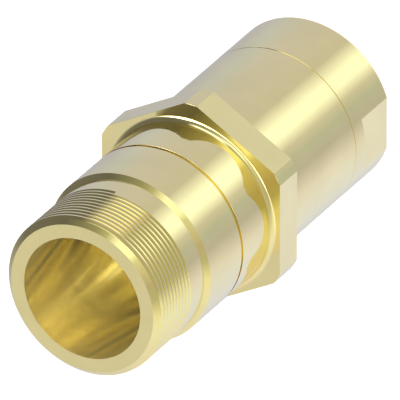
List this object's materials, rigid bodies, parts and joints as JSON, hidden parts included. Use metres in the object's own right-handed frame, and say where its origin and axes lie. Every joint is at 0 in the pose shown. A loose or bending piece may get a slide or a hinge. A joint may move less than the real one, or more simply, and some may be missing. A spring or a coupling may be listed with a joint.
{
  "type": "quick coupling",
  "caption": "Brass screw-type quick coupling half: fine front thread, open probe bore, hexagon body, rear wrench flats and pipe port, sprung poppet valve inside.",
  "frame": {"origin": "centre of the rear face, which the coupling stands on", "axes": "+Z along the coupling's axis towards the mating end, X across the two rear wrench flats, Y through two corners of the hexagon"},
  "size_m": [0.0344, 0.0384, 0.076],
  "materials": {
    "turned_brass": "bright fine-turned",
    "valve_brass": "as machined",
    "bearing_bronze": "sintered",
    "stainless_steel": "fine-turned",
    "spring_steel": "drawn wire",
    "black_rubber": "moulded",
    "white_ptfe": "turned"
  },
  "bodies": {
    "housing": {"front_sleeve": "turned_brass", "hex_body": "turned_brass", "rear_adapter": "turned_brass", "seal_carrier": "valve_brass", "backup_ring": "white_ptfe", "probe_o_ring": "black_rubber", "sleeve_o_ring": "black_rubber", "seat_o_ring": "black_rubber", "adapter_o_ring": "black_rubber", "valve_seat": "valve_brass", "guide_spider": "valve_brass", "guide_bush": "bearing_bronze", "spring_cup": "stainless_steel", "valve_spring": "spring_steel"},
    "valve": {"poppet": "valve_brass", "poppet_seal": "black_rubber", "seal_clamp": "valve_brass", "nose_nut": "valve_brass", "valve_stem": "stainless_steel", "stem_clip": "stainless_steel"}
  },
  "joints": [
    {"name": "valve_slide", "type": "slide", "parent": "housing", "child": "valve", "axis": [0, 0, -1], "range_m": [0, 0.005], "stiffness_N_per_m": 1970, "springref_m": -0.01, "deforming": ["valve_spring"]}
  ]
}
